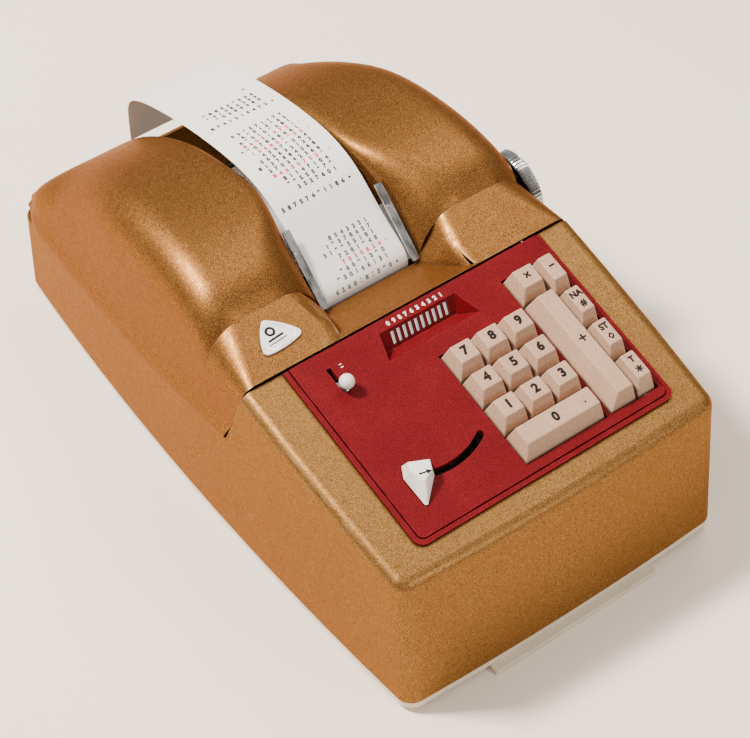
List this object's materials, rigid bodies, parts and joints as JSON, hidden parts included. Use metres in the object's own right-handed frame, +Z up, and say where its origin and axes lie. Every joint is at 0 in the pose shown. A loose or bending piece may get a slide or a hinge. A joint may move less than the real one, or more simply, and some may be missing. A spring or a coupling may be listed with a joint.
{
  "type": "desk calculator",
  "caption": "Printing desk calculator: bronze enamel housing, sloping red keyboard panel, two-humped rear cover, paper tape over the top and a platen knob at the side.",
  "frame": {"origin": "centre of the machine's footprint on the table, knob included", "axes": "+X to the operator's right, +Y to the back of the machine, +Z up"},
  "size_m": [0.2417, 0.4206, 0.1673],
  "materials": {
    "bronze_enamel": "metallic hammered enamel",
    "cover_enamel": "metallic hammered enamel, slightly lighter",
    "base_cream": "cream enamel",
    "panel_red": "deep red, fine satin grain",
    "key_ivory": "ivory, satin",
    "lever_white": "off-white, satin",
    "bright_chrome": "bright plated",
    "clear_acrylic": "clear",
    "tape_paper": "matt",
    "frame_steel": "zinc plated sheet",
    "shaft_steel": "ground",
    "rubber_black": "matt",
    "comb_white": "white",
    "brass_gear": "machined",
    "motor_paint": "dark grey enamel",
    "ink_ribbon": "inked",
    "spool_black": "satin",
    "inlet_black": "phenolic",
    "badge_silver": "satin"
  },
  "bodies": {
    "machine": {"badge": "badge_silver", "base_pan": "base_cream", "base_screws": "frame_steel", "carriage_rail": "shaft_steel", "clear_lever_pin": "shaft_steel", "cross_rods": "shaft_steel", "front_foot_bar": "base_cream", "key_base_plate": "frame_steel", "key_guide_plate": "frame_steel", "key_guide_posts": "shaft_steel", "keyboard_panel": "panel_red", "lower_housing": "bronze_enamel", "motor": "motor_paint", "paper_tape": "tape_paper", "paper_window": "clear_acrylic", "power_inlet": "inlet_black", "rear_cover": "cover_enamel", "ribbon": "ink_ribbon", "ribbon_brackets": "frame_steel", "roll_spindle": "shaft_steel", "rubber_feet": "rubber_black", "side_frame_left": "frame_steel", "side_frame_right": "frame_steel", "tear_bar": "frame_steel", "type_bar_comb": "frame_steel", "type_bars": "frame_steel", "window_bracket_left": "bright_chrome", "window_bracket_right": "bright_chrome"},
    "key_0_body": {"key_0": "key_ivory"},
    "key_1_body": {"key_1": "key_ivory"},
    "key_2_body": {"key_2": "key_ivory"},
    "key_3_body": {"key_3": "key_ivory"},
    "key_4_body": {"key_4": "key_ivory"},
    "key_5_body": {"key_5": "key_ivory"},
    "key_6_body": {"key_6": "key_ivory"},
    "key_7_body": {"key_7": "key_ivory"},
    "key_8_body": {"key_8": "key_ivory"},
    "key_9_body": {"key_9": "key_ivory"},
    "key_minus_body": {"key_minus": "key_ivory"},
    "key_multiply_body": {"key_multiply": "key_ivory"},
    "key_non_add_body": {"key_non_add": "key_ivory"},
    "key_plus_body": {"key_plus": "key_ivory"},
    "key_subtotal_body": {"key_subtotal": "key_ivory"},
    "key_total_body": {"key_total": "key_ivory"},
    "clear_lever_body": {"clear_lever": "frame_steel", "clear_lever_knob": "lever_white"},
    "selector_body": {"selector_slide": "frame_steel", "selector_knob": "lever_white"},
    "carriage_body": {"pin_carriage": "frame_steel", "indicator_comb": "comb_white"},
    "platen_body": {"platen": "rubber_black", "platen_shaft": "shaft_steel", "platen_knob": "bright_chrome"},
    "feed_roller_body": {"feed_rollers": "rubber_black"},
    "paper_roll_body": {"paper_roll": "tape_paper"},
    "main_shaft_body": {"main_shaft": "shaft_steel", "main_gear": "brass_gear"},
    "motor_pinion_body": {"motor_pinion": "shaft_steel"},
    "ribbon_spool_left_body": {"ribbon_spool_left": "spool_black"},
    "ribbon_spool_right_body": {"ribbon_spool_right": "spool_black"}
  },
  "joints": [
    {"name": "key_0_press", "type": "slide", "parent": "machine", "child": "key_0_body", "axis": [0, 0.2368, -0.9715], "range_m": [0, 0.004], "stiffness_N_per_m": 150, "springref_m": -0.005},
    {"name": "key_1_press", "type": "slide", "parent": "machine", "child": "key_1_body", "axis": [0, 0.2368, -0.9715], "range_m": [0, 0.004], "stiffness_N_per_m": 150, "springref_m": -0.005},
    {"name": "key_2_press", "type": "slide", "parent": "machine", "child": "key_2_body", "axis": [0, 0.2368, -0.9715], "range_m": [0, 0.004], "stiffness_N_per_m": 150, "springref_m": -0.005},
    {"name": "key_3_press", "type": "slide", "parent": "machine", "child": "key_3_body", "axis": [0, 0.2368, -0.9715], "range_m": [0, 0.004], "stiffness_N_per_m": 150, "springref_m": -0.005},
    {"name": "key_4_press", "type": "slide", "parent": "machine", "child": "key_4_body", "axis": [0, 0.2368, -0.9715], "range_m": [0, 0.004], "stiffness_N_per_m": 150, "springref_m": -0.005},
    {"name": "key_5_press", "type": "slide", "parent": "machine", "child": "key_5_body", "axis": [0, 0.2368, -0.9715], "range_m": [0, 0.004], "stiffness_N_per_m": 150, "springref_m": -0.005},
    {"name": "key_6_press", "type": "slide", "parent": "machine", "child": "key_6_body", "axis": [0, 0.2368, -0.9715], "range_m": [0, 0.004], "stiffness_N_per_m": 150, "springref_m": -0.005},
    {"name": "key_7_press", "type": "slide", "parent": "machine", "child": "key_7_body", "axis": [0, 0.2368, -0.9715], "range_m": [0, 0.004], "stiffness_N_per_m": 150, "springref_m": -0.005},
    {"name": "key_8_press", "type": "slide", "parent": "machine", "child": "key_8_body", "axis": [0, 0.2368, -0.9715], "range_m": [0, 0.004], "stiffness_N_per_m": 150, "springref_m": -0.005},
    {"name": "key_9_press", "type": "slide", "parent": "machine", "child": "key_9_body", "axis": [0, 0.2368, -0.9715], "range_m": [0, 0.004], "stiffness_N_per_m": 150, "springref_m": -0.005},
    {"name": "key_minus_press", "type": "slide", "parent": "machine", "child": "key_minus_body", "axis": [0, 0.2368, -0.9715], "range_m": [0, 0.004], "stiffness_N_per_m": 150, "springref_m": -0.005},
    {"name": "key_multiply_press", "type": "slide", "parent": "machine", "child": "key_multiply_body", "axis": [0, 0.2368, -0.9715], "range_m": [0, 0.004], "stiffness_N_per_m": 150, "springref_m": -0.005},
    {"name": "key_non_add_press", "type": "slide", "parent": "machine", "child": "key_non_add_body", "axis": [0, 0.2368, -0.9715], "range_m": [0, 0.004], "stiffness_N_per_m": 150, "springref_m": -0.005},
    {"name": "key_plus_press", "type": "slide", "parent": "machine", "child": "key_plus_body", "axis": [0, 0.2368, -0.9715], "range_m": [0, 0.004], "stiffness_N_per_m": 150, "springref_m": -0.005},
    {"name": "key_subtotal_press", "type": "slide", "parent": "machine", "child": "key_subtotal_body", "axis": [0, 0.2368, -0.9715], "range_m": [0, 0.004], "stiffness_N_per_m": 150, "springref_m": -0.005},
    {"name": "key_total_press", "type": "slide", "parent": "machine", "child": "key_total_body", "axis": [0, 0.2368, -0.9715], "range_m": [0, 0.004], "stiffness_N_per_m": 150, "springref_m": -0.005},
    {"name": "clear_lever_turn", "type": "hinge", "parent": "machine", "child": "clear_lever_body", "pos_m": [-0.04645, -0.0998, 0.12103], "axis": [0, -0.2368, 0.9715], "range_deg": [0, 52], "stiffness_Nm_per_rad": 0.03, "springref_deg": -22.92},
    {"name": "selector_slide_joint", "type": "slide", "parent": "machine", "child": "selector_body", "axis": [0, 0.9715, 0.2368], "range_m": [0, 0.012]},
    {"name": "carriage_step", "type": "slide", "parent": "machine", "child": "carriage_body", "axis": [-1, 0, 0], "range_m": [0, 0.0369]},
    {"name": "platen_turn", "type": "hinge", "parent": "machine", "child": "platen_body", "pos_m": [-0.00245, -0.00325, 0.118], "axis": [1, 0, 0], "continuous": true},
    {"name": "feed_roller_turn", "type": "hinge", "parent": "machine", "child": "feed_roller_body", "pos_m": [-0.00245, -0.00639, 0.10018], "axis": [1, 0, 0], "continuous": true},
    {"name": "paper_roll_turn", "type": "hinge", "parent": "machine", "child": "paper_roll_body", "pos_m": [-0.00245, 0.12275, 0.062], "axis": [1, 0, 0], "continuous": true},
    {"name": "main_shaft_turn", "type": "hinge", "parent": "machine", "child": "main_shaft_body", "pos_m": [-0.00245, 0.05475, 0.052], "axis": [1, 0, 0], "continuous": true},
    {"name": "motor_turn", "type": "hinge", "parent": "machine", "child": "motor_pinion_body", "pos_m": [-0.00245, 0.10475, 0.052], "axis": [1, 0, 0], "continuous": true},
    {"name": "ribbon_spool_left_turn", "type": "hinge", "parent": "machine", "child": "ribbon_spool_left_body", "pos_m": [-0.07045, -0.02925, 0.108], "axis": [0, 0, 1], "continuous": true},
    {"name": "ribbon_spool_right_turn", "type": "hinge", "parent": "machine", "child": "ribbon_spool_right_body", "pos_m": [0.06555, -0.02925, 0.108], "axis": [0, 0, 1], "continuous": true}
  ],
  "couplings": [
    {"joint": "feed_roller_turn", "follows": "platen_turn", "ratio": -2.4},
    {"joint": "paper_roll_turn", "follows": "platen_turn", "ratio": 0.4},
    {"joint": "motor_turn", "follows": "main_shaft_turn", "ratio": -4.5556},
    {"joint": "ribbon_spool_right_turn", "follows": "ribbon_spool_left_turn", "ratio": 1}
  ]
}
